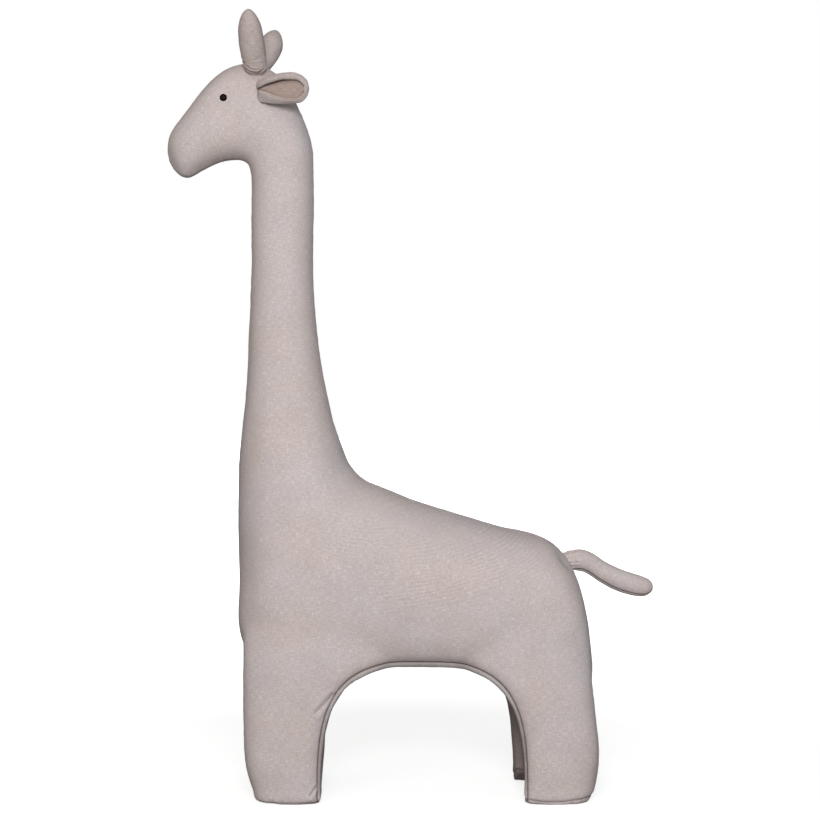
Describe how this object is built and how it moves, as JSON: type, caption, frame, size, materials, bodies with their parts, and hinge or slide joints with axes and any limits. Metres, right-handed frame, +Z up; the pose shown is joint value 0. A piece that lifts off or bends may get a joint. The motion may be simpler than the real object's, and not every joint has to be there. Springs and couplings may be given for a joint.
{
  "type": "plush giraffe",
  "caption": "Tall free-standing soft toy giraffe with a long straight neck, a short head, padded horns, folded ears, a stub tail and thick legs on flat soles.",
  "frame": {"origin": "on the floor, at the centre of the bounding box", "axes": "+Z up; -X the way the animal faces; -Y its left side"},
  "size_m": [0.627, 0.2, 0.9945],
  "materials": {
    "linen": "matte plain-weave linen in greige, with slubs and pale flecks",
    "ear_lining": "matte plain-weave linen, a browner shade",
    "fibre_fill": "white hollow-fibre stuffing, hidden under the cover",
    "steel_wire": "bare drawn steel wire",
    "cloth_tape": "woven cotton tape",
    "eye_gloss": "glossy moulded black",
    "washer_nylon": "natural moulded nylon"
  },
  "bodies": {
    "body": {"side_panel_left": "linen", "side_panel_right": "linen", "underside_gusset": "linen", "sole_front_left": "linen", "sole_front_right": "linen", "sole_hind_left": "linen", "sole_hind_right": "linen", "stuffing_chest": "fibre_fill", "stuffing_belly": "fibre_fill", "stuffing_rump": "fibre_fill", "stuffing_neck": "fibre_fill", "stuffing_head": "fibre_fill", "stuffing_leg_front_left": "fibre_fill", "stuffing_leg_front_right": "fibre_fill", "stuffing_leg_hind_left": "fibre_fill", "stuffing_leg_hind_right": "fibre_fill", "spine_wire": "steel_wire", "front_leg_wire": "steel_wire", "hind_leg_wire": "steel_wire", "wire_tape_front": "cloth_tape", "wire_tape_hind": "cloth_tape", "eye_left": "eye_gloss", "eye_right": "eye_gloss", "eye_washer_left": "washer_nylon", "eye_washer_right": "washer_nylon"},
    "horn_left": {"horn_cover_left": "linen", "horn_stuffing_left": "fibre_fill"},
    "horn_right": {"horn_cover_right": "linen", "horn_stuffing_right": "fibre_fill"},
    "ear_left": {"ear_left": "linen", "ear_lining_left": "ear_lining"},
    "ear_right": {"ear_right": "linen", "ear_lining_right": "ear_lining"},
    "tail_root": {"tail_root": "linen"},
    "tail": {"tail_cover": "linen", "tail_stuffing": "fibre_fill"}
  },
  "joints": [
    {"name": "horn_left_lean", "type": "hinge", "parent": "body", "child": "horn_left", "pos_m": [-0.19606, -0.03297, 0.9302], "axis": [0, 1, 0], "range_deg": [-30, 30], "stiffness_Nm_per_rad": 0.3},
    {"name": "horn_right_lean", "type": "hinge", "parent": "body", "child": "horn_right", "pos_m": [-0.19623, 0.03297, 0.93052], "axis": [0, 1, 0], "range_deg": [-30, 30], "stiffness_Nm_per_rad": 0.3},
    {"name": "ear_left_fold", "type": "hinge", "parent": "body", "child": "ear_left", "pos_m": [-0.18974, -0.0442, 0.89457], "axis": [0.0185, 0, -0.9998], "range_deg": [-8, 40], "stiffness_Nm_per_rad": 0.1},
    {"name": "ear_right_fold", "type": "hinge", "parent": "body", "child": "ear_right", "pos_m": [-0.18981, 0.04425, 0.8945], "axis": [0.4193, 0, 0.9078], "range_deg": [-20, 30], "stiffness_Nm_per_rad": 0.1},
    {"name": "tail_lift", "type": "hinge", "parent": "body", "child": "tail_root", "pos_m": [0.21307, 0, 0.29599], "axis": [0, 1, 0], "range_deg": [-50, 30], "stiffness_Nm_per_rad": 0.4},
    {"name": "tail_swing", "type": "hinge", "parent": "tail_root", "child": "tail", "pos_m": [0.21307, 0, 0.29599], "axis": [0, 0, 1], "range_deg": [-35, 35], "stiffness_Nm_per_rad": 0.4}
  ]
}
